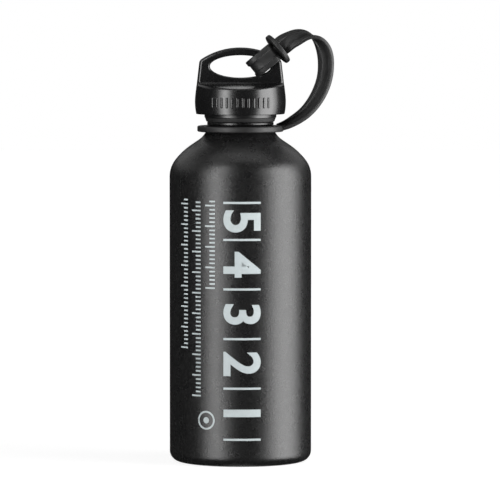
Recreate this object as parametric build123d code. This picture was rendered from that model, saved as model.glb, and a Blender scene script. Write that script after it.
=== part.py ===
from build123d import *
import os
from math import asin, cos, degrees, radians, sin

# A camping fuel bottle: drawn aluminium bottle, push-and-turn cap with a handle, rubber leash.
# Millimetres, +Z up, origin at the middle of the base. The front of the handle faces -Y.

# Bottle body
body_diameter = 73.0
wall = 1.0
base_fillet = 5.4
foot_inner_radius = 27.0
base_dome_rise = 2.5

# Shoulder, from the wall up: a tight arc, a wide arc, a straight run and a hollow fillet up to the neck
shoulder_tight_radius = 14.0
shoulder_run_length = 4.6
neck_fillet_radius = 11.5
neck_top_radius = 17.76
first_turn_deg = 38.0
second_turn_deg = 18.0
neck_turn_deg = 28.0
inner_second_turn_deg = 10.0

# Neck, lip and screw thread
groove_height = 3.3
groove_bottom_height = 170.0
groove_radius = 16.0
lip_radius = 17.1
lip_height = 2.0
lip_round = 0.7
groove_round = 0.3
thread_bore_radius = 14.3
thread_length = 9.0
mouth_radius = 14.6
mouth_depth = 2.5
thread_pitch = 3.0
thread_depth = 1.1
thread_base_width = 1.9
thread_flank_run = 0.5
thread_sink = 0.4
thread_clearance = 0.3
plug_thread_width = 2.0

# Inner cap and its seal
seal_height = 1.9
seal_foot_radius = 17.5
seal_top_radius = 18.2
seal_bore_clearance = 0.4
collar_radius = 18.5
collar_round = 0.5
drum_height = 9.1
catch_groove_depth = 0.65
catch_groove_start = 3.8
plug_foot_clearance = 0.7
plug_wall = 2.6
drum_floor = 2.5
spring_well_radius = 12.0
spring_well_depth = 2.0
lug_outer_radius = 17.5
lug_inner_radius = 13.5
lug_count = 12
inner_lug_height = 1.7
outer_lug_height = 1.2
lug_arc_share = 0.4

# Outer cap
cap_clearance = 0.3
skirt_overlap_start = 1.9
press_travel = 1.5
lug_rest_gap = 0.6
catch_bead_height = 1.2
catch_gap = 0.2
ledge_dome_radius = 110.0
ledge_thickness = 4.9
skirt_belly_radius = 23.4
skirt_belly_rise = 6.3
skirt_belly_arc_radius = 30.0
handle_lean_deg = 6.6
handle_half_thickness = 4.5
handle_rise = 18.7
handle_arch_radius = 36.6
handle_corner_radius = 2.5
opening_half_width = 15.7
opening_half_height = 5.75
opening_rise = 8.85
handle_edge_round = 1.7
opening_edge_round = 1.2
handle_inset = 0.1
handle_foot_cover = 2.0
handle_foot_round = 1.9
ledge_edge_round = 1.4
bead_sink = 0.3
skirt_edge_round = 0.4

# Press spring
spring_wire_diameter = 1.0
spring_mean_radius = 9.0
spring_pitch = 2.0
spring_ground_share = 0.35
spring_check_points = 24

# Leash ring, strap and keeper disc
ring_outer_radius = 22.2
ring_thickness = 3.1
ring_bore_clearance = 0.35
ring_edge_round = 0.6
strap_width = 10.2
strap_thickness = 2.1
strap_groove_depth = 0.55
strap_rim_width = 2.4
strap_rim_slope = 0.5
strap_end_bulge = 0.35
strap_root_cut_x = 24.4
disc_diameter = 17.3
disc_thickness = 2.4
disc_edge_round = 0.7
disc_tilt_deg = 9.0
disc_middle_x = 19.2
disc_rise = 8.95
strand_angle_deg = 39.5
strand_gap = 0.25
strand_slot_clearance = 0.3
loop_bar_clearance = 0.25
loop_reach = 17.3
loop_spread_reach = 3.6
loop_spread_start = 0.6
loop_spread_round = 1.2
strand_exit_length = 0.3
disc_slot_flare = 2.4
disc_slot_flare_length = 2.0
strap_reach = 24.8
strap_top_rise = 7.2
strap_root_x = 18.9
strap_root_turn_deg = 100.0
# Free stretch: shares of its reach, its rise and its offset at the disc, with the turn of its width
strap_route_shares = [
    (0.17, 0.931, 1.0, 27), (0.34, 0.971, 0.9, 41), (0.535, 0.994, 0.7, 64), (0.725, 0.978, 0.4, 94),
    (0.876, 0.912, 0.1, 119), (0.97, 0.812, 0.0, 133), (1.0, 0.675, 0.0, 135), (0.97, 0.535, 0.0, 133),
    (0.868, 0.389, 0.0, 130), (0.71, 0.257, 0.0, 125), (0.51, 0.15, 0.0, 119), (0.29, 0.075, 0.0, 113),
    (0.095, 0.026, 0.0, 106)]

# Places that follow from the sizes above
body_radius = body_diameter / 2
slope_deg = first_turn_deg + second_turn_deg


def turn_run(start_deg, end_deg):
    """How far an arc of radius 1 moves in towards the axis as it turns from start to end."""
    return cos(radians(start_deg)) - cos(radians(end_deg))


def turn_rise(start_deg, end_deg):
    """How far an arc of radius 1 rises as it turns from start to end."""
    return sin(radians(end_deg)) - sin(radians(start_deg))


shoulder_fixed_run = (
    shoulder_tight_radius * turn_run(0, first_turn_deg) + shoulder_run_length * sin(radians(slope_deg))
    + neck_fillet_radius * turn_run(slope_deg - neck_turn_deg, slope_deg))
shoulder_wide_radius = (
    (body_radius - neck_top_radius - shoulder_fixed_run) / turn_run(first_turn_deg, slope_deg))
shoulder_rise = (
    shoulder_tight_radius * turn_rise(0, first_turn_deg)
    + shoulder_wide_radius * turn_rise(first_turn_deg, slope_deg)
    + shoulder_run_length * cos(radians(slope_deg))
    + neck_fillet_radius * turn_rise(slope_deg - neck_turn_deg, slope_deg))
shoulder_start_height = groove_bottom_height - shoulder_rise
groove_top_height = groove_bottom_height + groove_height
lip_top_height = groove_top_height + lip_height
thread_top_height = lip_top_height - mouth_depth
neck_foot_height = thread_top_height - thread_length
collar_foot_height = lip_top_height + seal_height
drum_top_height = collar_foot_height + drum_height
plug_radius = thread_bore_radius - thread_depth - thread_clearance
plug_foot_height = neck_foot_height + plug_foot_clearance
inner_lug_top_height = drum_top_height + inner_lug_height
ceiling_height = inner_lug_top_height + lug_rest_gap + outer_lug_height
skirt_foot_height = collar_foot_height + skirt_overlap_start
skirt_bore_radius = collar_radius + cap_clearance
catch_groove_foot_height = collar_foot_height + catch_groove_start
well_floor_height = drum_top_height - spring_well_depth
ledge_peak_height = ceiling_height + ledge_thickness
skirt_belly_height = skirt_foot_height + skirt_belly_rise
handle_top_height = ledge_peak_height + handle_rise
opening_middle_height = ledge_peak_height + opening_rise
disc_middle_height = opening_middle_height + disc_rise
strap_top_height = disc_middle_height + strap_top_rise
strap_reach_x = disc_middle_x + strap_reach
catch_groove_height = catch_bead_height + press_travel + 2 * catch_gap
catch_groove_top_height = catch_groove_foot_height + catch_groove_height
overrun = body_diameter
quarter_turn_deg = 90.0


def turn(points_and_curves):
    """A solid of revolution from a half outline drawn with x as radius and y as height."""
    return revolve(Plane.XZ * make_face(points_and_curves), Axis.Z)


def rod(radius, foot_height, top_height):
    """A plain round rod on the axis, from foot_height to top_height."""
    return Pos(0, 0, foot_height) * extrude(Circle(radius), top_height - foot_height)


def tube(outer_radius, inner_radius, foot_height, top_height):
    """A plain round tube on the axis, from foot_height to top_height."""
    return rod(outer_radius, foot_height, top_height) - rod(inner_radius, foot_height, top_height)


def screw_ridge(root_radius, crest_radius, base_width, foot_height, height):
    """One right-hand thread ridge, its root sunk by thread_sink into the wall that carries it."""
    side = 1 if crest_radius > root_radius else -1
    sunk_radius = root_radius - side * thread_sink
    flank = thread_flank_run
    sunk_flank = flank * thread_sink / abs(crest_radius - root_radius)
    half_crest = base_width / 2 - flank
    half_base = base_width / 2 + sunk_flank
    path = Helix(pitch=thread_pitch, height=height, radius=root_radius)
    outline = Polyline(
        (sunk_radius, -half_base), (crest_radius, -half_crest),
        (crest_radius, half_crest), (sunk_radius, half_base), close=True)
    ridge = sweep(Plane.XZ * make_face(outline), path=path, is_frenet=True)
    return Pos(0, 0, foot_height) * ridge


def thread_start_height():
    """The height where the bottle's own ridge starts, clear of the neck's lower edge."""
    return neck_foot_height + thread_base_width / 2 + thread_flank_run


def shoulder_chain(offset, last_turn_deg):
    """The wall, then the two convex arcs of the shoulder, moved inwards by offset."""
    wall_line = Line((body_radius - offset, base_fillet), (body_radius - offset, shoulder_start_height))
    first = JernArc(wall_line @ 1, wall_line % 1, shoulder_tight_radius - offset, first_turn_deg)
    second = JernArc(first @ 1, first % 1, shoulder_wide_radius - offset, last_turn_deg)
    return [wall_line, first, second]


def base_chain(lift):
    """The hollow base from the axis to the foot of the wall, lifted by lift for the inside."""
    dome_radius = (foot_inner_radius ** 2 + base_dome_rise ** 2) / (2 * base_dome_rise)
    dome_turn = degrees(asin(foot_inner_radius / dome_radius))
    dome = JernArc((0, base_dome_rise + lift), (1, 0), dome_radius, -dome_turn)
    foot = Line(dome @ 1, (body_radius - base_fillet, lift))
    corner = JernArc(foot @ 1, (1, 0), base_fillet - lift, quarter_turn_deg)
    return [dome, foot, corner]


def make_bottle_shell():
    """The drawn bottle in one outline, base to lip to inside, with its thread ridge."""
    outside = shoulder_chain(0, second_turn_deg)
    run = Line(outside[-1] @ 1, outside[-1] @ 1 + (outside[-1] % 1) * shoulder_run_length)
    neck_fillet = JernArc(run @ 1, run % 1, neck_fillet_radius, -neck_turn_deg)
    lip = FilletPolyline(
        neck_fillet @ 1, (groove_radius, groove_bottom_height), (groove_radius, groove_top_height),
        (lip_radius, groove_top_height), (lip_radius, lip_top_height), (mouth_radius, lip_top_height),
        (mouth_radius, thread_top_height), (thread_bore_radius, thread_top_height),
        radius=[groove_round, groove_round, lip_round, lip_round, groove_round, 0])
    bore = Line(lip @ 1, (thread_bore_radius, neck_foot_height))
    inside = shoulder_chain(wall, inner_second_turn_deg)
    neck_inside = Line(bore @ 1, inside[-1] @ 1)
    outer_base = base_chain(0)
    inner_base = base_chain(wall)
    axis_line = Line(outer_base[0] @ 0, inner_base[0] @ 0)
    edges = outer_base + outside + [run, neck_fillet, lip, bore, neck_inside] + inside + inner_base
    shell = turn(edges + [axis_line])
    ridge_height = thread_length - thread_base_width - 2 * thread_flank_run
    ridge = screw_ridge(thread_bore_radius, thread_bore_radius - thread_depth, thread_base_width,
                        thread_start_height(), ridge_height)
    return shell + ridge


def make_cap_seal():
    """The conical rubber washer between the lip and the collar."""
    plug_bore = plug_radius + seal_bore_clearance
    outline = Polyline(
        (plug_bore, lip_top_height), (seal_foot_radius, lip_top_height),
        (seal_top_radius, collar_foot_height), (plug_bore, collar_foot_height), close=True)
    return turn(outline)


def lug_ring(foot_height, height, start_deg):
    """Drive lugs: short arcs of a ring, evenly spaced."""
    spacing = 360 / lug_count
    half_angle = spacing * lug_arc_share / 2
    ring = tube(lug_outer_radius, lug_inner_radius, foot_height, foot_height + height)
    reach = 2 * lug_outer_radius
    ray = (reach * cos(radians(half_angle)), reach * sin(radians(half_angle)))
    wedge_outline = make_face(Polyline((0, 0), ray, (ray[0], -ray[1]), close=True))
    wedge = Pos(0, 0, foot_height) * extrude(wedge_outline, height)
    return [Rot(0, 0, start_deg + spacing * index) * (ring & wedge) for index in range(lug_count)]


def make_inner_cap():
    """The threaded hollow plug and the drum with its catch groove, spring well and drive lugs."""
    catch_groove_radius = collar_radius - catch_groove_depth
    plug_bore = plug_radius - plug_wall
    hollow_top = well_floor_height - drum_floor
    outside = FilletPolyline(
        (plug_bore, plug_foot_height), (plug_radius, plug_foot_height), (plug_radius, collar_foot_height),
        (collar_radius, collar_foot_height), (collar_radius, catch_groove_foot_height),
        (catch_groove_radius, catch_groove_foot_height), (catch_groove_radius, catch_groove_top_height),
        (collar_radius, catch_groove_top_height), (collar_radius, drum_top_height),
        (spring_well_radius, drum_top_height), (spring_well_radius, well_floor_height),
        (0, well_floor_height),
        radius=[collar_round, 0, collar_round, 0, 0, 0, 0, collar_round, 0, 0])
    inside = Polyline(outside @ 1, (0, hollow_top), (plug_bore, hollow_top), outside @ 0)
    body = turn([outside, inside])
    for lug in lug_ring(drum_top_height, inner_lug_height, 0):
        body += lug
    ridge_foot = thread_start_height() + thread_pitch / 2
    ridge_height = thread_length - thread_pitch
    ridge = screw_ridge(plug_radius, plug_radius + thread_depth, plug_thread_width,
                        ridge_foot, ridge_height)
    return body + ridge


def handle_outline(inset):
    """The front outline of skirt and handle, moved in by inset: bellied sides and an arched top."""
    belly_radius = skirt_belly_arc_radius - inset
    belly_middle_x = skirt_belly_radius - skirt_belly_arc_radius
    foot_turn_deg = degrees(asin((skirt_belly_height - skirt_foot_height) / belly_radius))
    belly = CenterArc((belly_middle_x, skirt_belly_height), belly_radius, -foot_turn_deg,
                      foot_turn_deg + handle_lean_deg)
    side = Line(belly @ 1, belly @ 1 + (belly % 1) * skirt_belly_arc_radius)
    foot = Line((0, skirt_foot_height), belly @ 0)
    middle = Line((0, skirt_foot_height), (0, (side @ 1).Y))
    right = make_face([foot, belly, side, Line(side @ 1, middle @ 1), middle])
    arch_disc = Pos(0, handle_top_height - handle_arch_radius) * Circle(handle_arch_radius - inset)
    outline = (right + mirror(right, Plane.YZ)) & arch_disc
    corners = outline.vertices().sort_by(Axis.Y)[-2:]
    return fillet(corners, handle_corner_radius)


def front_slab(outline, half_thickness):
    """A front outline made as thick as the handle, centred on the axis."""
    return extrude(Plane.XZ * outline, half_thickness, both=True)


def make_handle_plate():
    """The flat handle with its opening, rounded all round, its foot buried in the cap."""
    opening = Pos(0, opening_middle_height) * Ellipse(opening_half_width, opening_half_height)
    foot_height = ceiling_height + handle_foot_cover
    below = Pos(0, skirt_foot_height) * Rectangle(2 * overrun, 2 * (foot_height - skirt_foot_height))
    plate = front_slab(handle_outline(handle_inset) - opening - below, handle_half_thickness)
    plate = fillet(plate.edges().filter_by(GeomType.ELLIPSE), opening_edge_round)
    rims = [face.outer_wire().edges() for face in plate.faces().filter_by(Axis.Y)]
    free_edges = [edge for rim in rims for edge in rim if edge.center().Z > foot_height + handle_inset]
    return fillet(free_edges, handle_edge_round)


def make_outer_cap():
    """The outer shell: a round bellied skirt under a domed ledge, the handle, catch bead and lugs."""
    skirt_height = ledge_peak_height - skirt_foot_height
    right_side = Pos(overrun / 2, skirt_foot_height) * Rectangle(overrun, 2 * skirt_height)
    barrel = revolve(Plane.XZ * (handle_outline(0) & right_side), Axis.Z)
    dome_axis_height = ledge_peak_height - ledge_dome_radius
    dome = Pos(0, 0, dome_axis_height) * Rot(0, 90, 0) * Cylinder(ledge_dome_radius, overrun)
    base = barrel & dome
    ledge = base.faces().sort_by(Axis.Z)[-1]
    base = fillet(ledge.edges(), ledge_edge_round)
    base -= rod(skirt_bore_radius, skirt_foot_height, ceiling_height)
    cap = base + make_handle_plate()
    foot_lines = [edge for edge in cap.edges().filter_by(GeomType.LINE).filter_by(Axis.X)
                  if edge.length > skirt_bore_radius and edge.center().Z < ledge_peak_height
                  and edge.center().Z > ledge_peak_height - handle_edge_round]
    cap = fillet(foot_lines, handle_foot_round)
    skirt_edges = [edge for edge in cap.edges()
                   if edge.center().Z < skirt_foot_height + handle_inset]
    cap = fillet(skirt_edges, skirt_edge_round)
    bead_foot_height = catch_groove_top_height - catch_gap - catch_bead_height
    bead_top_height = bead_foot_height + catch_bead_height
    bead_radius = collar_radius - catch_groove_depth + cap_clearance
    cap += tube(skirt_bore_radius + bead_sink, bead_radius, bead_foot_height, bead_top_height)
    half_lug_spacing_deg = 180 / lug_count
    for lug in lug_ring(ceiling_height - outer_lug_height, outer_lug_height, half_lug_spacing_deg):
        cap += lug
    return cap


def spring_path():
    """The helix that the spring's wire follows, from its own foot."""
    ground_height = spring_wire_diameter * spring_ground_share
    coil_height = ceiling_height - well_floor_height - ground_height
    return Helix(pitch=spring_pitch, height=coil_height, radius=spring_mean_radius)


def spring_coil_gap():
    """The least gap between neighbouring coils, measured on points of the helix a turn apart."""
    path = spring_path()
    turn_share = spring_pitch / (path.bounding_box().size.Z)
    shares = [(1 - turn_share) * index / spring_check_points for index in range(spring_check_points + 1)]
    return min((path @ (share + turn_share) - path @ share).length for share in shares) - spring_wire_diameter


def make_press_spring():
    """The coil spring in the well, its ends ground flat against both shells."""
    wire_radius = spring_wire_diameter / 2
    first_height = well_floor_height + wire_radius * spring_ground_share
    path = spring_path()
    wire = sweep(Plane(path @ 0, z_dir=path % 0) * Circle(wire_radius), path=path, is_frenet=True)
    ground = rod(skirt_bore_radius, well_floor_height, ceiling_height)
    return (Pos(0, 0, first_height) * wire) & ground


def strap_section():
    """The strap cut across: x over its width and y through it, a shallow groove on each face."""
    half_width = strap_width / 2 - strap_end_bulge
    half_thick = strap_thickness / 2
    rim_inside = half_width - strap_rim_width
    floor_edge = rim_inside - strap_rim_slope
    floor = half_thick - strap_groove_depth
    upper = [(half_width, half_thick), (rim_inside, half_thick), (floor_edge, floor)]
    upper += [(-x, y) for x, y in reversed(upper)]
    lower = [(x, -y) for x, y in reversed(upper)]
    right_end = ThreePointArc(lower[-1], (strap_width / 2, 0), upper[0])
    left_end = ThreePointArc(upper[-1], (-strap_width / 2, 0), lower[0])
    return make_face([Polyline(*upper), left_end, Polyline(*lower), right_end])


# Directions at the keeper disc: along the strand away from the handle, and across the strap
strand_out = Vector(cos(radians(strand_angle_deg)), 0, sin(radians(strand_angle_deg)))
strand_across = Vector(sin(radians(strand_angle_deg)), 0, -cos(radians(strand_angle_deg)))
disc_middle = Vector(disc_middle_x, 0, disc_middle_height)
disc_plane = Plane(disc_middle, x_dir=-strand_out, z_dir=strand_across)
strand_offset = (strap_thickness + strand_gap) / 2
strand_exit = disc_thickness / 2 + strand_exit_length


def make_strap_loop(handle):
    """Both strands through the disc, spread round the handle bar, and the fold pressed against it."""
    bar_offset = handle_half_thickness + loop_bar_clearance + strap_thickness / 2
    bend_middle = loop_reach - strap_thickness / 2 - bar_offset
    front = FilletPolyline(
        (-strand_exit, -strand_offset), (loop_spread_start, -strand_offset),
        (loop_spread_reach, -bar_offset), (bend_middle, -bar_offset), radius=loop_spread_round)
    bend = JernArc(front @ 1, (1, 0), bar_offset, 180)
    back = mirror(front, Plane.XZ)
    path = disc_plane * Wire(front.edges() + bend.edges() + back.edges())
    section = Plane(path @ 0, x_dir=strand_across, z_dir=path % 0) * strap_section()
    return sweep(section, path=path) - handle


def make_keeper_disc():
    """The slotted disc that holds both strands, its slot flared towards the handle."""
    half_disc = disc_thickness / 2
    puck = Rot(0, 90, 0) * Cylinder(disc_diameter / 2, disc_thickness)
    puck = fillet(puck.edges().filter_by(GeomType.CIRCLE), disc_edge_round)
    puck = Rot(0, 0, -disc_tilt_deg) * puck
    near_half = strand_offset + strap_thickness / 2 + strand_slot_clearance
    far_half = near_half + disc_slot_flare
    flare_start = half_disc - disc_slot_flare_length
    slot_outline = Polyline(
        (-overrun, -near_half), (flare_start, -near_half), (half_disc, -far_half), (overrun, -far_half),
        (overrun, far_half), (half_disc, far_half), (flare_start, near_half), (-overrun, near_half),
        close=True)
    slot = extrude(make_face(slot_outline), strap_width / 2 + strand_slot_clearance, both=True)
    return disc_plane * (puck - slot)


def strap_route():
    """The free stretch from the disc to the ring: middle points, and the turn of its width."""
    start = disc_middle + strand_out * strand_exit - Vector(0, strand_offset, 0)
    root = Vector(strap_root_x, 0, groove_bottom_height + ring_thickness - strap_thickness / 2)
    reach = strap_reach_x - start.X
    rise = strap_top_height - root.Z
    points = [start]
    turns = [0]
    for reach_share, rise_share, offset_share, turn_deg in strap_route_shares:
        points.append(Vector(start.X + reach * reach_share, start.Y * offset_share,
                             root.Z + rise * rise_share))
        turns.append(turn_deg)
    return points + [root], turns + [strap_root_turn_deg]


def strap_planes():
    """One plane across the strap at each point of its route."""
    points, turns = strap_route()
    planes = []
    for index, (point, turn_deg) in enumerate(zip(points, turns)):
        before = points[max(index - 1, 0)]
        after = points[min(index + 1, len(points) - 1)]
        along = (after - before).normalized() if index else strand_out
        inward = Vector(0, 1, 0).cross(along).normalized()
        across = inward * cos(radians(turn_deg)) - Vector(0, sin(radians(turn_deg)), 0)
        across = (across - along * across.dot(along)).normalized()
        planes.append(Plane(point, x_dir=across, z_dir=along))
    return planes


def make_leash():
    """The neck ring with the root of the strap, and the free stretch, as two matching solids."""
    section = strap_section()
    ribbon = loft([plane * section for plane in strap_planes()])
    ring = tube(ring_outer_radius, groove_radius + ring_bore_clearance,
                groove_bottom_height, groove_bottom_height + ring_thickness)
    rims = ring.edges().filter_by(GeomType.CIRCLE).sort_by(SortBy.RADIUS)[-2:]
    ring = fillet(rims, ring_edge_round)
    root_zone = Pos(0, 0, groove_bottom_height) * Box(2 * strap_root_cut_x, 2 * strap_width, strap_width)
    return ring + (ribbon & root_zone), ribbon - root_zone


os.makedirs("parts", exist_ok=True)
outer_cap = make_outer_cap()
leash_ring, leash_strap = make_leash()
nodes = {
    "bottle_shell": make_bottle_shell(),
    "cap_seal": make_cap_seal(),
    "inner_cap": make_inner_cap(),
    "press_spring": make_press_spring(),
    "outer_cap": outer_cap,
    "leash_ring": leash_ring,
    "leash_strap": leash_strap,
    "strap_loop": make_strap_loop(outer_cap),
    "keeper_disc": make_keeper_disc(),
}
for name, shape in nodes.items():
    export_step(shape, f"parts/{name}.step")
    print(name, len(shape.solids()), round(shape.volume, 1), shape.is_valid)
print("least gap between the spring's coils, mm:", round(spring_coil_gap(), 2))
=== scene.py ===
# A camping fuel bottle of painted aluminium, with a glossy push-and-turn cap and a rubber leash.
# Metres, +Z up, the middle of the base at the origin. The front of the handle faces -Y.

from math import cos, pi, radians, sin

import bmesh
import bpy
import numpy as np
from mathutils import Matrix, Vector


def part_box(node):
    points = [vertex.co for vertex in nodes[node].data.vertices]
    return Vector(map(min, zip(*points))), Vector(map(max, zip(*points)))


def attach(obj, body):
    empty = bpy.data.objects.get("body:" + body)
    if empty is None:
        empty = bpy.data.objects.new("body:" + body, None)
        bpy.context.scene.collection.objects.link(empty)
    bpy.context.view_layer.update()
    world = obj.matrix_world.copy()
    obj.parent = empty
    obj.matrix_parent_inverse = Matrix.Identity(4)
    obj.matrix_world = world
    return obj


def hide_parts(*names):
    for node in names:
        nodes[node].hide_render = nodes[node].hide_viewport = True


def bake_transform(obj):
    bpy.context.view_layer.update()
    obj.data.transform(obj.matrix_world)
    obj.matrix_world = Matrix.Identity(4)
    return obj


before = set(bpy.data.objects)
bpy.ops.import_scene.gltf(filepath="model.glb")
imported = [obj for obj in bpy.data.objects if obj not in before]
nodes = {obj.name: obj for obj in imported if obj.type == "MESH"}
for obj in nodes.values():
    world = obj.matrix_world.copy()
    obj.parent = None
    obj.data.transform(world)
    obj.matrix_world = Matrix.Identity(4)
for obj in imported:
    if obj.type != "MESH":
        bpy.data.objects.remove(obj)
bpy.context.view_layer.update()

# The bottle is drawn from one slug of aluminium, base, wall, shoulder and threaded neck in one piece.
# Outside it has a satin black paint with a fine metallic grain; inside it is left bare.
paint_colour = (0.0035, 0.0035, 0.0036)
paint_fleck_colour = (0.026, 0.026, 0.026)
paint_roughness = 0.28
paint_grain_size = 0.0007
paint_grain_depth = 0.00013
paint_fleck_low = 0.48
paint_fleck_high = 0.74
paint_cloud_size = 0.006
paint_cloud_swing = 0.02
bare_colour = (0.72, 0.73, 0.75)
bare_roughness = 0.34
bare_floor_height = 0.008
inward_limit = -0.12
upward_limit = 0.5
lip_foot_height = 0.1732
lip_roughness = 0.16


class Finish:
    """A material and short ways to add and join nodes in it."""

    def __init__(self, name, colour, roughness):
        self.material = bpy.data.materials.new(name)
        self.material.use_nodes = True
        self.material.diffuse_color = (*colour, 1)
        self.tree = self.material.node_tree
        self.shader = self.tree.nodes["Principled BSDF"]
        self.shader.inputs["Base Color"].default_value = (*colour, 1)
        self.shader.inputs["Roughness"].default_value = roughness
        self.place = self.node("ShaderNodeTexCoord").outputs["Object"]

    def node(self, kind, **settings):
        made = self.tree.nodes.new(kind)
        for key, value in settings.items():
            setattr(made, key, value)
        return made

    def join(self, source, target):
        self.tree.links.new(source, target)

    def noise(self, size, detail=2.0, rough=0.5):
        """A grey noise whose lumps are about size metres across."""
        made = self.node("ShaderNodeTexNoise")
        made.inputs["Scale"].default_value = 1 / size
        made.inputs["Detail"].default_value = detail
        made.inputs["Roughness"].default_value = rough
        self.join(self.place, made.inputs["Vector"])
        return made.outputs["Fac"]

    def spread(self, source, low, high, to_low, to_high):
        """The source from low to high, laid out from to_low to to_high."""
        made = self.node("ShaderNodeMapRange")
        ends = {"From Min": low, "From Max": high, "To Min": to_low, "To Max": to_high}
        for name, value in ends.items():
            made.inputs[name].default_value = value
        self.join(source, made.inputs["Value"])
        return made.outputs["Result"]

    def maths(self, operation, first, second):
        """Two values, each a number or a socket, put through one operation."""
        made = self.node("ShaderNodeMath", operation=operation)
        for value, socket in zip((first, second), made.inputs):
            if isinstance(value, (int, float)):
                socket.default_value = value
            else:
                self.join(value, socket)
        return made.outputs["Value"]

    def mixed(self, share, first, second):
        """A colour between two, by share."""
        made = self.node("ShaderNodeMix", data_type="RGBA")
        self.join(share, made.inputs["Factor"])
        for value, socket in zip((first, second), (made.inputs[6], made.inputs[7])):
            if isinstance(value, tuple):
                socket.default_value = (*value, 1)
            else:
                self.join(value, socket)
        return made.outputs[2]

    def bump(self, height, depth):
        """Stands the surface up by depth metres where the height is one."""
        made = self.node("ShaderNodeBump")
        made.inputs["Strength"].default_value = 1.0
        made.inputs["Distance"].default_value = depth
        self.join(height, made.inputs["Height"])
        self.join(made.outputs["Normal"], self.shader.inputs["Normal"])


def paint_finish():
    """Satin black outside; bare metal where the surface looks at the axis or up from the floor."""
    finish = Finish("satin_black_paint", paint_colour, paint_roughness)
    outward = finish.node("ShaderNodeVectorMath", operation="DOT_PRODUCT")
    flat = finish.node("ShaderNodeVectorMath", operation="MULTIPLY")
    flat.inputs[1].default_value = (1, 1, 0)
    finish.join(finish.place, flat.inputs[0])
    unit = finish.node("ShaderNodeVectorMath", operation="NORMALIZE")
    finish.join(flat.outputs["Vector"], unit.inputs[0])
    normal = finish.node("ShaderNodeTexCoord").outputs["Normal"]
    finish.join(unit.outputs["Vector"], outward.inputs[0])
    finish.join(normal, outward.inputs[1])
    looks_in = finish.maths("LESS_THAN", outward.outputs["Value"], inward_limit)
    split_normal = finish.node("ShaderNodeSeparateXYZ")
    finish.join(normal, split_normal.inputs[0])
    split_place = finish.node("ShaderNodeSeparateXYZ")
    finish.join(finish.place, split_place.inputs[0])
    looks_up = finish.maths("GREATER_THAN", split_normal.outputs["Z"], upward_limit)
    low = finish.maths("LESS_THAN", split_place.outputs["Z"], bare_floor_height)
    bare = finish.maths("MAXIMUM", looks_in, finish.maths("MULTIPLY", looks_up, low))

    grain = finish.noise(paint_grain_size, detail=3.0, rough=0.65)
    flecks = finish.spread(grain, paint_fleck_low, paint_fleck_high, 0, 1)
    painted = finish.mixed(flecks, paint_colour, paint_fleck_colour)
    finish.join(finish.mixed(bare, painted, bare_colour), finish.shader.inputs["Base Color"])
    clouds = finish.noise(paint_cloud_size)
    satin = finish.spread(clouds, 0.3, 0.7, paint_roughness - paint_cloud_swing,
                          paint_roughness + paint_cloud_swing)
    rough = finish.maths("ADD", satin, finish.maths("MULTIPLY", bare, bare_roughness - paint_roughness))
    on_lip = finish.maths("GREATER_THAN", split_place.outputs["Z"], lip_foot_height)
    polish = finish.maths("MULTIPLY", on_lip, paint_roughness - lip_roughness)
    finish.join(finish.maths("SUBTRACT", rough, polish), finish.shader.inputs["Roughness"])
    finish.join(bare, finish.shader.inputs["Metallic"])
    finish.bump(grain, paint_grain_depth)
    return finish.material


def dress(node, material):
    """Gives a piece one material all over."""
    node.data.materials.clear()
    node.data.materials.append(material)


dress(nodes["bottle_shell"], paint_finish())

# The seal is a soft black rubber washer with sloping sides, pinched between the lip and the collar.
# It is moulded, dull, and darker than anything round it.
seal_colour = (0.006, 0.006, 0.006)
seal_roughness = 0.6
seal_grain_size = 0.0004
seal_grain_depth = 0.00001

seal_finish = Finish("seal_rubber", seal_colour, seal_roughness)
seal_finish.bump(seal_finish.noise(seal_grain_size), seal_grain_depth)
dress(nodes["cap_seal"], seal_finish.material)

# The inner and the outer cap are injection moulded in black plastic with a polished skin.
# The skin keeps a slight waviness from the mould and hair-fine scuffs from use. The outer cap's skirt is
# the more polished, and the inner cap shows only its collar below it.
gloss_colour = (0.0038, 0.0038, 0.0040)
gloss_roughness = 0.24
collar_roughness = 0.32
gloss_index = 1.6
gloss_wave_size = 0.009
gloss_wave_depth = 0.00004
gloss_scuff_size = 0.0012
gloss_scuff_smooth = 0.02
gloss_scuff_rough = 0.06


def gloss_finish(name, roughness):
    """Polished black plastic, wavy from the mould and duller where it is scuffed."""
    finish = Finish(name, gloss_colour, roughness)
    finish.shader.inputs["IOR"].default_value = gloss_index
    scuffs = finish.noise(gloss_scuff_size, detail=4.0, rough=0.7)
    finish.join(finish.spread(scuffs, 0.35, 0.75, roughness - gloss_scuff_smooth,
                              roughness + gloss_scuff_rough),
                finish.shader.inputs["Roughness"])
    finish.bump(finish.noise(gloss_wave_size), gloss_wave_depth)
    return finish.material


dress(nodes["inner_cap"], gloss_finish("inner_cap_plastic", collar_roughness))
dress(nodes["outer_cap"], gloss_finish("outer_cap_plastic", gloss_roughness))

# The press spring is a short coil of hard-drawn steel wire, hidden between the two caps. Its foot turn
# rests in the inner cap's well, and its top turn goes down with the outer cap when that is pressed.
spring_colour = (0.55, 0.55, 0.56)
spring_roughness = 0.3
spring_grain_size = 0.0003
spring_grain_depth = 0.000008

spring_finish = Finish("spring_steel", spring_colour, spring_roughness)
spring_finish.shader.inputs["Metallic"].default_value = 1.0
spring_finish.bump(spring_finish.noise(spring_grain_size), spring_grain_depth)
coil = bpy.data.objects.new("press_coil", nodes["press_spring"].data.copy())
bpy.context.scene.collection.objects.link(coil)
dress(coil, spring_finish.material)
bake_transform(coil)
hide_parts("press_spring")

# The leash is moulded in one from dark grey rubber: a ring that lies loose in the groove of the neck,
# and a strap with a shallow channel along both faces, which arches over to the handle.
leash_colour = (0.0045, 0.0045, 0.0046)
leash_roughness = 0.52
leash_grain_size = 0.0006
leash_grain_depth = 0.00002
leash_dust_size = 0.004
leash_dust_share = 1.35


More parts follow.
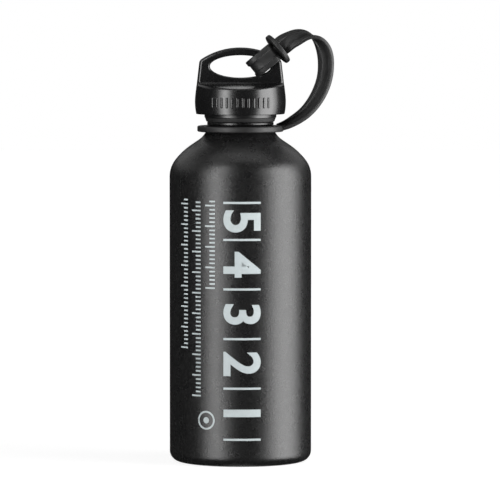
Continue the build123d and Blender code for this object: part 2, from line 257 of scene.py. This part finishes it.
def leash_finish(name):
    """Dull rubber with a fine moulded grain and a faint bloom in patches."""
    finish = Finish(name, leash_colour, leash_roughness)
    bloom = finish.noise(leash_dust_size, detail=4.0)
    finish.join(finish.mixed(finish.spread(bloom, 0.35, 0.7, 0, 1), leash_colour,
                             tuple(leash_dust_share * part for part in leash_colour)),
                finish.shader.inputs["Base Color"])
    finish.join(finish.spread(bloom, 0.3, 0.7, leash_roughness - 0.04, leash_roughness + 0.05),
                finish.shader.inputs["Roughness"])
    finish.bump(finish.noise(leash_grain_size, detail=3.0), leash_grain_depth)
    return finish.material


rubber = leash_finish("leash_rubber")
sharp_angle = radians(35)


def shown(name, build, material):
    """An object from a bmesh, smooth but for its sharp edges."""
    bmesh.ops.recalc_face_normals(build, faces=build.faces)
    for face in build.faces:
        face.smooth = True
    for edge in build.edges:
        edge.smooth = edge.calc_face_angle(0) < sharp_angle
    mesh = bpy.data.meshes.new(name)
    build.to_mesh(mesh)
    build.free()
    mesh.materials.append(material)
    made = bpy.data.objects.new(name, mesh)
    bpy.context.scene.collection.objects.link(made)
    return made


def lofted(rings, closed_round):
    """A bmesh of quads from ring to ring; closed_round joins the last ring to the first."""
    build = bmesh.new()
    loops = [[build.verts.new(point) for point in ring] for ring in rings]
    pairs = list(zip(loops, loops[1:] + loops[:1] if closed_round else loops[1:]))
    for first, second in pairs:
        for index in range(len(first)):
            after = (index + 1) % len(first)
            build.faces.new((first[index], first[after], second[after], second[index]))
    if not closed_round:
        build.faces.new(loops[0])
        build.faces.new(loops[-1])
    return build


def rounded_corner(middle, radius, start_deg, steps=5):
    """Points on a quarter round, turning left from start_deg."""
    angles = [radians(start_deg + 90 * step / steps) for step in range(steps + 1)]
    return [(middle[0] + radius * cos(angle), middle[1] + radius * sin(angle)) for angle in angles]


ring_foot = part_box("leash_ring")[0][2]
ring_radius = -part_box("leash_ring")[0][0]
ring_thickness = 0.0031
ring_width = 0.00585
ring_round = 0.0008
ring_steps = 128
strap_root_middle = 0.01890

ring_corners = [(ring_radius - ring_round, ring_foot + ring_round, 270),
                (ring_radius - ring_round, ring_foot + ring_thickness - ring_round, 0),
                (ring_radius - ring_width + ring_round, ring_foot + ring_thickness - ring_round, 90),
                (ring_radius - ring_width + ring_round, ring_foot + ring_round, 180)]
ring_outline = [point for x, z, start in ring_corners
                for point in rounded_corner((x, z), ring_round, start)]
ring_rings = [[(x * cos(2 * pi * step / ring_steps), x * sin(2 * pi * step / ring_steps), z)
               for x, z in ring_outline] for step in range(ring_steps)]
neck_ring = shown("leash_neck_ring", lofted(ring_rings, True), rubber)
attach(neck_ring, "leash")
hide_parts("leash_ring")

# The strap is one moulded band, shown in two pieces that meet halfway up the arch, so that it can stretch
# with the cap. The route's shares of reach, rise and offset, and the turn of the strap's width at each
# point, are those of the CAD, from the disc over the arch to the ring.
strap_half_width = 0.0051
strap_half_thick = 0.00105
strap_channel_depth = 0.00055
strap_rim_width = 0.0026
strap_rim_slope = 0.0005
strap_rim_shares = ((0.2, 0.0), (0.0, 0.15), (-0.7, 0.88), (-1.0, 1.0))
strap_round = 0.0005
strap_steps = 8
disc_middle = Vector((0.0192, 0, 0.2125))
strand_angle = radians(39.5)
strand_out = Vector((cos(strand_angle), 0, sin(strand_angle)))
strand_across = Vector((sin(strand_angle), 0, -cos(strand_angle)))
strand_offset = 0.001175
route_reach_x = 0.0440
route_top = 0.2197
route_start = disc_middle + strand_out * 0.0018 - Vector((0, strand_offset, 0))
route_root = Vector((strap_root_middle, 0, 0.17205))
route_shares = [
    (0.17, 0.931, 1.0, 27), (0.34, 0.971, 0.9, 41), (0.535, 0.994, 0.7, 64), (0.725, 0.978, 0.4, 94),
    (0.876, 0.912, 0.1, 119), (0.97, 0.812, 0.0, 133), (1.0, 0.675, 0.0, 135), (0.97, 0.535, 0.0, 133),
    (0.868, 0.389, 0.0, 130), (0.71, 0.257, 0.0, 125), (0.51, 0.15, 0.0, 119), (0.29, 0.075, 0.0, 113),
    (0.095, 0.026, 0.0, 106)]
root_turn = 100
seam_height = 0.2090


def strap_outline():
    """The strap cut across: round edges, two rims and the channel between them, on both faces."""
    edge = rounded_corner((strap_half_width - strap_round, strap_half_thick - strap_round),
                          strap_round, 0)
    rim_inside = strap_half_width - strap_rim_width
    upper = edge + [(rim_inside + strap_rim_slope * across, strap_half_thick - strap_channel_depth * down)
                    for across, down in strap_rim_shares]
    upper += [(-x, y) for x, y in reversed(upper)]
    return upper + [(-x, -y) for x, y in upper]


def smooth_rows(rows, steps):
    """Rows on one smooth curve through the given rows, with steps rows to each stretch."""
    rows = np.array(rows)
    spans = np.linalg.norm(np.diff(rows[:, :3], axis=0), axis=1)
    system = np.eye(len(rows))
    right = np.zeros_like(rows)
    for index in range(1, len(rows) - 1):
        before, after = spans[index - 1], spans[index]
        system[index, index - 1:index + 2] = before, 2 * (before + after), after
        step_after = (rows[index + 1] - rows[index]) / after
        step_before = (rows[index] - rows[index - 1]) / before
        right[index] = 6 * (step_after - step_before)
    bends = np.linalg.solve(system, right)
    made = []
    for index, span in enumerate(spans):
        for share in np.arange(steps) / steps:
            near, far = 1 - share, share
            bend = (near ** 3 - near) * bends[index] + (far ** 3 - far) * bends[index + 1]
            made.append(near * rows[index] + far * rows[index + 1] + bend * span ** 2 / 6)
    return np.array(made + [rows[-1]])


def strap_rings(rows):
    """The strap's outline set across each row (x, y, z, turn of the width in degrees)."""
    outline = strap_outline()
    rings = []
    for row, along in zip(rows, np.gradient(rows[:, :3], axis=0)):
        along = Vector(along).normalized()
        inward = Vector((0, 1, 0)).cross(along).normalized()
        across = inward * cos(radians(row[3])) - Vector((0, 1, 0)) * sin(radians(row[3]))
        across = (across - along * across.dot(along)).normalized()
        through = along.cross(across)
        rings.append([Vector(row[:3]) + across * x + through * y for x, y in outline])
    return rings


route = [(*(disc_middle - Vector((0, strand_offset, 0))), 0), (*route_start, 0)]
for reach_share, rise_share, offset_share, turn in route_shares:
    route.append((route_start.x + (route_reach_x - route_start.x) * reach_share,
                  route_start.y * offset_share,
                  route_root.z + (route_top - route_root.z) * rise_share, turn))
route.append((*route_root, root_turn))
strap_rows = smooth_rows(route, strap_steps)
# The two pieces meet at the first row above seam_height on the strap's way up over the arch.
over_top = int(np.argmax(strap_rows[:, 0]))
seam = over_top - int(np.argmax(strap_rows[over_top::-1, 2] > seam_height))

rings_along = strap_rings(strap_rows)
upper_strap = shown("leash_upper_strap", lofted(rings_along[:seam + 1], False), rubber)
lower_strap = shown("leash_lower_strap", lofted(rings_along[seam:], False), rubber)
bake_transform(lower_strap)
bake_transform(upper_strap)
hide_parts("leash_strap")
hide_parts("leash_strap")

# The strap's end goes in front of the handle, folds through its opening and comes back behind it.
# Its rubber lies in a wide fold, which the disc gathers again. It is the same moulding as the strap.
loop_bar_offset = 0.0058
loop_reach = 0.0174
loop_fold_steps = 24
loop_rise_x = (0.0, 0.0009, 0.0022, 0.0034, 0.0047)
loop_rise_share = (0.0, 0.06, 0.56, 0.93, 1.0)

front_side = smooth_rows([(x, -strand_offset - (loop_bar_offset - strand_offset) * share, 0, 0)
                          for x, share in zip(loop_rise_x, loop_rise_share)], strap_steps)[:, :2]
fold_middle = loop_reach - strap_half_thick - loop_bar_offset
fold = [(fold_middle + loop_bar_offset * sin(angle), -loop_bar_offset * cos(angle))
        for angle in np.linspace(0, pi, loop_fold_steps + 1)]
loop_path = np.array([*front_side, *fold, *[(x, -y) for x, y in reversed(front_side)]])
loop_rings = []
for (x, y), (along_x, along_y) in zip(loop_path, np.gradient(loop_path, axis=0)):
    middle = disc_middle - strand_out * x + Vector((0, y, 0))
    along = (Vector((0, along_y, 0)) - strand_out * along_x).normalized()
    loop_rings.append([middle + strand_across * across + along.cross(strand_across) * through
                       for across, through in strap_outline()])
loop = shown("leash_loop", lofted(loop_rings, False), rubber)
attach(loop, "outer")
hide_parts("strap_loop")

# The keeper is a thick round disc of the same rubber with a slot through it. It is moulded by itself and
# pushed over both strands, which holds the loop closed.
disc_radius = 0.00865
disc_thickness = 0.0024
disc_round = 0.0006
disc_tilt = radians(9)
disc_steps = 96
slot_half_height = 0.0026
slot_half_width = 0.0054
slot_flare = 0.0010
slot_flare_length = 0.0020

disc_half = disc_thickness / 2
disc_outline = (rounded_corner((disc_radius - disc_round, -disc_half + disc_round), disc_round, 270)
                + rounded_corner((disc_radius - disc_round, disc_half - disc_round), disc_round, 0))
disc_axis = strand_out * cos(disc_tilt) + Vector((0, sin(disc_tilt), 0))
disc_frame = Matrix((strand_across, disc_axis.cross(strand_across), disc_axis)).transposed().to_4x4()
disc_place = Matrix.Translation(disc_middle) @ disc_frame


def circle_at(radius, height, steps):
    """Points round the disc's axis at a height along it."""
    angles = [2 * pi * step / steps for step in range(steps)]
    return [(radius * cos(angle), radius * sin(angle), height) for angle in angles]


def slot_at(flare, height):
    """The slot's corners at a height along the disc's axis, its half height wider by flare."""
    half = slot_half_height + flare
    return [(slot_half_width, -half, height), (slot_half_width, half, height),
            (-slot_half_width, half, height), (-slot_half_width, -half, height)]


disc_build = lofted([circle_at(x, z, disc_steps) for x, z in disc_outline], False)
slot_build = lofted([slot_at(slot_flare, -2 * disc_half), slot_at(slot_flare, -disc_half),
                     slot_at(0, disc_half - slot_flare_length), slot_at(0, 2 * disc_half)], False)
disc = shown("leash_keeper_disc", disc_build, rubber)
slot_cutter = shown("slot_cutter", slot_build, rubber)
slot_cut = disc.modifiers.new("slot", "BOOLEAN")
slot_cut.operation = "DIFFERENCE"
slot_cut.object = slot_cutter
cut_mesh = bpy.data.meshes.new_from_object(disc.evaluated_get(bpy.context.evaluated_depsgraph_get()))
disc.modifiers.clear()
bpy.data.objects.remove(slot_cutter)
cut_build = bmesh.new()
cut_build.from_mesh(cut_mesh)
cut_build.transform(disc_place)
bpy.data.objects.remove(disc)
disc = shown("leash_keeper_disc", cut_build, rubber)
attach(disc, "outer")
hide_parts("keeper_disc")

# Low grip ribs are moulded on the front of the outer cap's skirt, standing on its bellied wall.
# They are of the same black plastic and fade into the wall at both ends.
rib_count = 12
rib_spacing = radians(6.9)
rib_low = 0.1826
rib_high = 0.1880
rib_half_width = 0.0006
rib_height = 0.00035
rib_sink = 0.0002
rib_steps = 13
rib_fade = 5
rib_flank_share = 0.9
rib_flank_height_share = 0.55
rib_crown_share = 0.5
belly_height = 0.1854
belly_arc = 0.030
belly_radius = 0.0234

rib_build = bmesh.new()
for index in range(rib_count):
    rib_angle = (index - (rib_count - 1) / 2) * rib_spacing
    rib_rings = []
    for share in np.linspace(0, 1, rib_steps):
        height = rib_low + (rib_high - rib_low) * share
        wall = belly_radius - belly_arc + (belly_arc ** 2 - (height - belly_height) ** 2) ** 0.5
        swell = rib_height * min(1, (1 - abs(2 * share - 1)) * rib_fade) ** 0.5
        flank, crown = rib_half_width * rib_flank_share, rib_half_width * rib_crown_share
        rib_section = ((-rib_half_width, -rib_sink), (rib_half_width, -rib_sink),
                       (flank, swell * rib_flank_height_share), (crown, swell), (-crown, swell),
                       (-flank, swell * rib_flank_height_share))
        rib_rings.append([Vector(((wall + reach) * sin(rib_angle + side / wall),
                                  -(wall + reach) * cos(rib_angle + side / wall), height))
                          for side, reach in rib_section])
    part = lofted(rib_rings, False)
    piece = bpy.data.meshes.new("rib")
    part.to_mesh(piece)
    part.free()
    rib_build.from_mesh(piece)
    bpy.data.meshes.remove(piece)
outer_plastic = nodes["outer_cap"].data.materials[0]
ribs = shown("skirt_grip_ribs", rib_build, outer_plastic)
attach(ribs, "outer")

# The paint carries a screen print in pale grey ink, a few hundredths of a millimetre thick.
# It is a fill scale with its numbers on their side, three fine rules and a plain ring with a dot.
ink_colour = (0.44, 0.49, 0.50)
ink_roughness = 0.5
ink_wear_size = 0.0012
ink_wear_share = 0.93
ink_grain_size = 0.0004
ink_grain_depth = 0.000006
ink_foot = -0.00003
ink_top = 0.00006
wrap_step = 0.001
scale_left = -0.00866
scale_right = 0.01050
scale_line = 0.0011
scale_line_heights = (0.0144, 0.0405, 0.0658, 0.0911, 0.1163, 0.1351)
scale_digits = (("1", 0.0279), ("2", 0.0531), ("3", 0.0784), ("4", 0.1037), ("5", 0.1257))
digit_bold = 0.024
rule_columns = ((-0.0355, -0.0300, 0.0602, 0.1360), (-0.0269, -0.0214, 0.0360, 0.1360),
                (-0.0186, -0.0132, 0.0912, 0.1369))
rule_step = 0.0021
rule_line = 0.0008
rule_long_every = 5
rule_short_share = 0.55
ring_mark = (-0.01814, 0.0240)
ring_mark_radius = 0.0048
ring_mark_line = 0.0009
ring_mark_steps = 48
ring_mark_dot = 0.0016
ring_mark_dot_steps = 24

ink_finish = Finish("print_ink", ink_colour, ink_roughness)
ink_wear = ink_finish.spread(ink_finish.noise(ink_wear_size, detail=4.0), 0.3, 0.7, 0, 1)
ink_worn_colour = tuple(ink_wear_share * part for part in ink_colour)
ink_finish.join(ink_finish.mixed(ink_wear, ink_worn_colour, ink_colour),
                ink_finish.shader.inputs["Base Color"])
ink_finish.bump(ink_finish.noise(ink_grain_size), ink_grain_depth)
wall_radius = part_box("bottle_shell")[1][0]


def inked_outline(build, points):
    """A flat inked shape from its outline in arc length and height, turning left."""
    foot = [build.verts.new((u, v, ink_foot)) for u, v in points]
    top = [build.verts.new((u, v, ink_top)) for u, v in points]
    build.faces.new(reversed(foot))
    build.faces.new(top)
    for index in range(len(points)):
        after = (index + 1) % len(points)
        build.faces.new((foot[index], foot[after], top[after], top[index]))


def inked_bar(build, left, right, low, high):
    """An upright inked rectangle between two arc lengths and two heights."""
    inked_outline(build, [(left, low), (right, low), (right, high), (left, high)])


def inked_digit(build, digit, middle_height):
    """A bold numeral on its side, its top to the right and its foot on the scale's left edge."""
    writing = bpy.data.curves.new("numeral", "FONT")
    writing.body = digit
    writing.offset = digit_bold
    writing.extrude = 0.5
    written = bpy.data.objects.new("numeral", writing)
    bpy.context.scene.collection.objects.link(written)
    flat = bpy.data.meshes.new_from_object(written.evaluated_get(bpy.context.evaluated_depsgraph_get()))
    bpy.data.objects.remove(written)
    spots = np.array([vert.co for vert in flat.vertices])
    low, high = spots.min(axis=0), spots.max(axis=0)
    size = (scale_right - scale_left) / (high[1] - low[1])
    for vert in flat.vertices:
        across = (vert.co.x - (low[0] + high[0]) / 2) * size
        up = (vert.co.y - low[1]) * size
        vert.co = (scale_left + up, middle_height - across, ink_top if vert.co.z > 0 else ink_foot)
    build.from_mesh(flat)
    bpy.data.meshes.remove(flat)


def wrapped(name, build):
    """The flat print laid round the bottle's wall."""
    bmesh.ops.remove_doubles(build, verts=build.verts, dist=0.000001)
    spots = [vert.co.x for vert in build.verts]
    for cut in np.arange(np.ceil(min(spots) / wrap_step), max(spots) / wrap_step):
        bmesh.ops.bisect_plane(build, geom=build.verts[:] + build.edges[:] + build.faces[:],
                               dist=0.0000001, plane_co=(cut * wrap_step, 0, 0), plane_no=(1, 0, 0))
    for vert in build.verts:
        angle = vert.co.x / wall_radius
        reach = wall_radius + vert.co.z
        vert.co = (reach * sin(angle), -reach * cos(angle), vert.co.y)
    made = shown(name, build, ink_finish.material)
    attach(made, "bottle")


scale_build = bmesh.new()
for height in scale_line_heights:
    inked_bar(scale_build, scale_left, scale_right, height - scale_line / 2, height + scale_line / 2)
for digit, height in scale_digits:
    inked_digit(scale_build, digit, height)
wrapped("fill_scale_print", scale_build)

rule_build = bmesh.new()
for left, right, low, high in rule_columns:
    for index in range(int((high - low) / rule_step) + 1):
        share = 1 if index % rule_long_every == 0 else rule_short_share
        inked_bar(rule_build, right - (right - left) * share, right, low + index * rule_step,
                  low + index * rule_step + rule_line)
wrapped("fine_rules_print", rule_build)

mark_build = bmesh.new()
for step in range(ring_mark_steps):
    angles = [2 * pi * (step + side) / ring_mark_steps for side in (0, 1)]
    inner_rim = ring_mark_radius - ring_mark_line
    rims = ((inner_rim, angles[0]), (ring_mark_radius, angles[0]),
            (ring_mark_radius, angles[1]), (inner_rim, angles[1]))
    points = [(ring_mark[0] + radius * cos(angle), ring_mark[1] + radius * sin(angle))
              for radius, angle in rims]
    low = [mark_build.verts.new((u, v, ink_foot)) for u, v in points]
    top = [mark_build.verts.new((u, v, ink_top)) for u, v in points]
    mark_build.faces.new(reversed(low))
    mark_build.faces.new(top)
    mark_build.faces.new((low[1], low[2], top[2], top[1]))
    mark_build.faces.new((low[3], low[0], top[0], top[3]))
dot_angles = [2 * pi * step / ring_mark_dot_steps for step in range(ring_mark_dot_steps)]
inked_outline(mark_build, [(ring_mark[0] + ring_mark_dot * cos(angle),
                            ring_mark[1] + ring_mark_dot * sin(angle)) for angle in dot_angles])
wrapped("ring_mark_print", mark_build)

# The stage is a pale floor that runs out of sight, white to the camera but for the bottle's soft shadow.
# It neither shows in the bottle's wall nor shades it, so the lamps' faces run on below it.
floor_radius = 4.0
floor_segments = 96
floor_roughness = 0.9
floor_colour = (0.22, 0.22, 0.22)
floor_near = 0.15
floor_far = 0.8
floor_near_white = 0.84

floor_mesh = bpy.data.meshes.new("floor")
floor_build = bmesh.new()
bmesh.ops.create_circle(floor_build, cap_ends=True, segments=floor_segments,
                      radius=floor_radius)
floor_build.to_mesh(floor_mesh)
floor_build.free()
floor = bpy.data.objects.new("floor", floor_mesh)
bpy.context.scene.collection.objects.link(floor)
floor_finish = Finish("floor_white", floor_colour, floor_roughness)
floor_away = floor_finish.node("ShaderNodeVectorMath", operation="LENGTH")
floor_finish.join(floor_finish.place, floor_away.inputs[0])
floor_white = floor_finish.spread(floor_away.outputs["Value"], floor_near, floor_far,
                                  floor_near_white, 1.0)
floor_glow = floor_finish.node("ShaderNodeEmission")
floor_ray = floor_finish.node("ShaderNodeLightPath")
floor_finish.join(floor_finish.maths("MULTIPLY", floor_ray.outputs["Is Camera Ray"], floor_white),
                  floor_glow.inputs["Strength"])
floor_sum = floor_finish.node("ShaderNodeAddShader")
floor_finish.join(floor_finish.shader.outputs["BSDF"], floor_sum.inputs[0])
floor_finish.join(floor_glow.outputs["Emission"], floor_sum.inputs[1])
floor_output = floor_finish.tree.nodes["Material Output"]
floor_finish.join(floor_sum.outputs["Shader"], floor_output.inputs["Surface"])
dress(floor, floor_finish.material)
floor.visible_glossy = False
floor.visible_shadow = False

# The studio round it is dark, with a little light from everywhere. The bottle mirrors a narrow white
# wall far behind it, and a grey wing high up on each side of that. The camera sees white all round.
world_fill = 0.09
world_dark = 0.02
wall_half_angle_deg = 2.6
wall_top_deg = 35
wings_reach_deg = 15
wings_foot_deg = 14
wings_top_deg = 45
wings_glow = 0.5

world = bpy.data.worlds.new("studio")
world.use_nodes = True
bpy.context.scene.world = world
sky = world.node_tree
sky_light = sky.nodes["Background"]
sky_ray = sky.nodes.new("ShaderNodeLightPath")
sky_place = sky.nodes.new("ShaderNodeTexCoord")
sky_way = sky.nodes.new("ShaderNodeSeparateXYZ")
sky.links.new(sky_place.outputs["Generated"], sky_way.inputs[0])


def sky_maths(operation, first, second):
    """Two values, each a number or a socket, put through one operation."""
    made = sky.nodes.new("ShaderNodeMath")
    made.operation = operation
    for value, socket in zip((first, second), made.inputs):
        if isinstance(value, (int, float)):
            socket.default_value = value
        else:
            sky.links.new(value, socket)
    return made.outputs["Value"]


wall_side = sky_maths("ABSOLUTE", sky_way.outputs["X"], 0)
wall_wide = sky_maths("LESS_THAN", wall_side, sin(radians(wall_half_angle_deg)))
wall_tall = sky_maths("LESS_THAN", sky_way.outputs["Z"], sin(radians(wall_top_deg)))
wall_behind = sky_maths("GREATER_THAN", sky_way.outputs["Y"], 0)
on_wall = sky_maths("MULTIPLY", sky_maths("MULTIPLY", wall_wide, wall_tall), wall_behind)
wings_wide = sky_maths("GREATER_THAN", wall_side, sin(radians(wings_reach_deg)))
wings_over = sky_maths("GREATER_THAN", sky_way.outputs["Z"], sin(radians(wings_foot_deg)))
wings_under = sky_maths("LESS_THAN", sky_way.outputs["Z"], sin(radians(wings_top_deg)))
wings_tall = sky_maths("MULTIPLY", sky_maths("MULTIPLY", wings_over, wings_under), wings_wide)
on_wings = sky_maths("MULTIPLY", sky_maths("MULTIPLY", wings_tall, wall_behind), wings_glow)
mirrored = sky_maths("MAXIMUM", sky_ray.outputs["Is Glossy Ray"], sky_ray.outputs["Is Transmission Ray"])
wall_seen = sky_maths("MULTIPLY", mirrored, sky_maths("MAXIMUM", on_wall, on_wings))
white = sky_maths("MAXIMUM", sky_ray.outputs["Is Camera Ray"], wall_seen)
fill = sky_maths("MULTIPLY", sky_ray.outputs["Is Diffuse Ray"], world_fill)
sky.links.new(sky_maths("MAXIMUM", sky_maths("MAXIMUM", white, fill), world_dark),
              sky_light.inputs["Strength"])
sky_light.inputs["Color"].default_value = (1, 1, 1, 1)

# The lamps are a narrow soft strip to the left of the camera, a wide soft panel on the right and one
# overhead. Each side lamp has a brighter core, which gives its highlight a soft edge.
overhead_rise_deg = 86
overhead_distance = 1.1
lamp_foot = -0.25


def softbox(name, side_deg, distance, width, foot, height, glow):
    """A flat upright lamp facing the bottle, its foot at a height; glow is its face's brightness."""
    lamp = bpy.data.lights.new(name, "AREA")
    lamp.shape = "RECTANGLE"
    lamp.size = width
    lamp.size_y = height
    lamp.energy = glow * width * height * pi
    made = bpy.data.objects.new(name, lamp)
    bpy.context.scene.collection.objects.link(made)
    side = radians(side_deg)
    away = Vector((sin(side), -cos(side), 0))
    made.location = away * distance + Vector((0, 0, foot + height / 2))
    made.rotation_euler = away.to_track_quat("Z", "Y").to_euler()
    return made


softbox("left_strip", side_deg=-40, distance=0.52, width=0.29, foot=lamp_foot, height=1.0, glow=3.6)
softbox("left_core", side_deg=-39, distance=0.51, width=0.12, foot=lamp_foot, height=1.0, glow=3.9)
softbox("right_panel", side_deg=75, distance=0.52, width=0.60, foot=lamp_foot, height=0.80, glow=3.2)
softbox("right_core", side_deg=72, distance=0.51, width=0.38, foot=lamp_foot, height=0.80, glow=3.5)
overhead = softbox("overhead", side_deg=0, distance=overhead_distance, width=1.3, foot=0, height=0.25,
                   glow=1.5)
overhead_rise = radians(overhead_rise_deg)
overhead_away = Vector((0, -cos(overhead_rise), sin(overhead_rise)))
overhead.location = overhead_away * overhead_distance
overhead.rotation_euler = overhead_away.to_track_quat("Z", "Y").to_euler()

# The camera has a long lens and stands a quarter metre above the floor, looking slightly down. Its frame
# is 500 pixels wide, and the bottle's axis and foot lie where the photograph has them.
photo_size = 500
photo_scale = 0.0005146
photo_axis_x = 240.4
photo_floor_y = 461.7
camera_distance = 2.335
camera_height = 0.2537
camera_sensor = 36
camera_sight = 50

camera_data = bpy.data.cameras.new("camera")
camera_data.sensor_width = camera_sensor
camera_data.lens = camera_sensor * camera_distance / (photo_scale * photo_size)
camera = bpy.data.objects.new("camera", camera_data)
bpy.context.scene.collection.objects.link(camera)
view_x = (photo_size / 2 - photo_axis_x) * photo_scale
view_height = (photo_floor_y - photo_size / 2) * photo_scale
camera.location = (view_x, -camera_distance, camera_height)
look = Vector((view_x, 0, view_height)) - camera.location
camera.rotation_euler = look.to_track_quat("-Z", "Y").to_euler()
camera_data.clip_end = camera_sight
bpy.context.scene.camera = camera
bpy.context.scene.view_settings.view_transform = "Standard"
